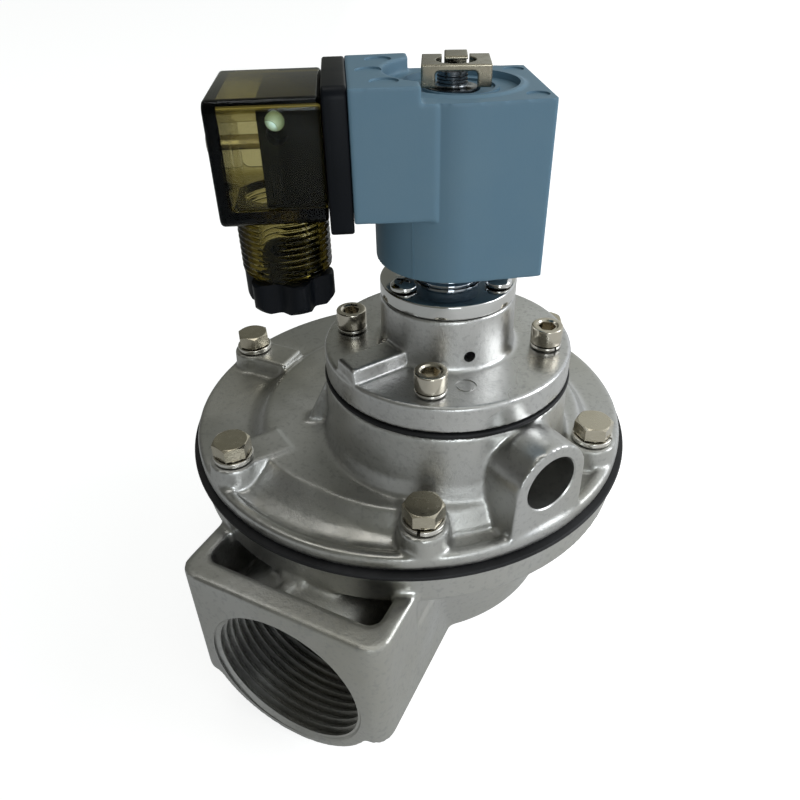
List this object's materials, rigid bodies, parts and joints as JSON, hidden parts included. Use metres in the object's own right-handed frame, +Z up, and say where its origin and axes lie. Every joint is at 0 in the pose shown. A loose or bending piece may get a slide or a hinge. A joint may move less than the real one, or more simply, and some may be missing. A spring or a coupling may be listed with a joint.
{
  "type": "pulse valve",
  "caption": "Right-angle diaphragm pulse valve for a dust collector, cast aluminium, with a second-stage pilot, a solenoid coil and a smoky clear cable connector",
  "frame": {"origin": "centre of the outlet port's end face, which the valve stands on", "axes": "+Z runs up the outlet axis to the solenoid, the inlet port looks along -Y, +X is to the right seen from the inlet"},
  "size_m": [0.115, 0.1247, 0.152],
  "materials": {
    "cast_aluminium": "satin",
    "black_rubber": "matte",
    "nickel_plate": "bright plated",
    "spring_steel": "satin",
    "polished_steel": "polished",
    "brass": "satin",
    "blue_grey_moulding": "matte",
    "black_plastic": "satin",
    "smoky_clear_plastic": "gloss",
    "lamp_plastic": "gloss"
  },
  "bodies": {
    "valve": {"valve_body": "cast_aluminium", "main_cover": "cast_aluminium", "pilot_cap": "cast_aluminium", "main_diaphragm_rim": "black_rubber", "main_diaphragm_web": "black_rubber", "second_diaphragm_rim": "black_rubber", "second_diaphragm_web": "black_rubber", "pilot_seal": "black_rubber", "cover_bolt_1": "nickel_plate", "cover_bolt_2": "nickel_plate", "cover_bolt_3": "nickel_plate", "cover_bolt_4": "nickel_plate", "cover_bolt_5": "nickel_plate", "cover_bolt_6": "nickel_plate", "pilot_plate": "nickel_plate", "plate_screw_1": "nickel_plate", "plate_screw_2": "nickel_plate", "plate_screw_3": "nickel_plate", "cover_washer_1": "spring_steel", "cover_washer_2": "spring_steel", "cover_washer_3": "spring_steel", "cover_washer_4": "spring_steel", "cover_washer_5": "spring_steel", "cover_washer_6": "spring_steel", "cap_washer_1": "spring_steel", "cap_washer_2": "spring_steel", "cap_washer_3": "spring_steel", "cap_washer_4": "spring_steel", "cap_screw_1": "spring_steel", "cap_screw_2": "spring_steel", "cap_screw_3": "spring_steel", "cap_screw_4": "spring_steel", "main_spring": "spring_steel", "second_spring": "spring_steel", "fixed_core": "spring_steel", "plunger_spring": "spring_steel", "core_tube": "polished_steel"},
    "main_disc": {"main_disc": "black_rubber", "main_disc_plate": "spring_steel", "main_disc_screw": "spring_steel"},
    "second_disc": {"second_disc": "black_rubber", "second_disc_plate": "spring_steel"},
    "plunger": {"plunger": "spring_steel", "plunger_seal": "black_rubber"},
    "coil": {"coil_shell": "blue_grey_moulding", "terminal_blade_1": "brass", "terminal_blade_2": "brass", "terminal_blade_3": "brass", "retaining_clip": "nickel_plate", "connector_gasket": "black_rubber", "connector_housing": "smoky_clear_plastic", "terminal_block": "black_plastic", "indicator_lamp": "lamp_plastic", "connector_screw": "spring_steel", "gland_grommet": "black_rubber", "gland_nut": "black_plastic"}
  },
  "joints": [
    {"name": "main_disc_lift", "type": "slide", "parent": "valve", "child": "main_disc", "axis": [0, 0, 1], "range_m": [0, 0.004], "stiffness_N_per_m": 800, "springref_m": -0.004, "deforming": ["main_diaphragm_web", "main_spring"]},
    {"name": "second_disc_lift", "type": "slide", "parent": "valve", "child": "second_disc", "axis": [0, 0, 1], "range_m": [0, 0.002], "stiffness_N_per_m": 400, "springref_m": -0.003, "deforming": ["second_diaphragm_web", "second_spring"]},
    {"name": "plunger_lift", "type": "slide", "parent": "valve", "child": "plunger", "axis": [0, 0, 1], "range_m": [0, 0.0015], "stiffness_N_per_m": 300, "springref_m": -0.003, "deforming": ["plunger_spring"]},
    {"name": "coil_swivel", "type": "hinge", "parent": "valve", "child": "coil", "pos_m": [0.01472, -0.0085, 0.13], "axis": [0, 0, 1], "continuous": true}
  ]
}
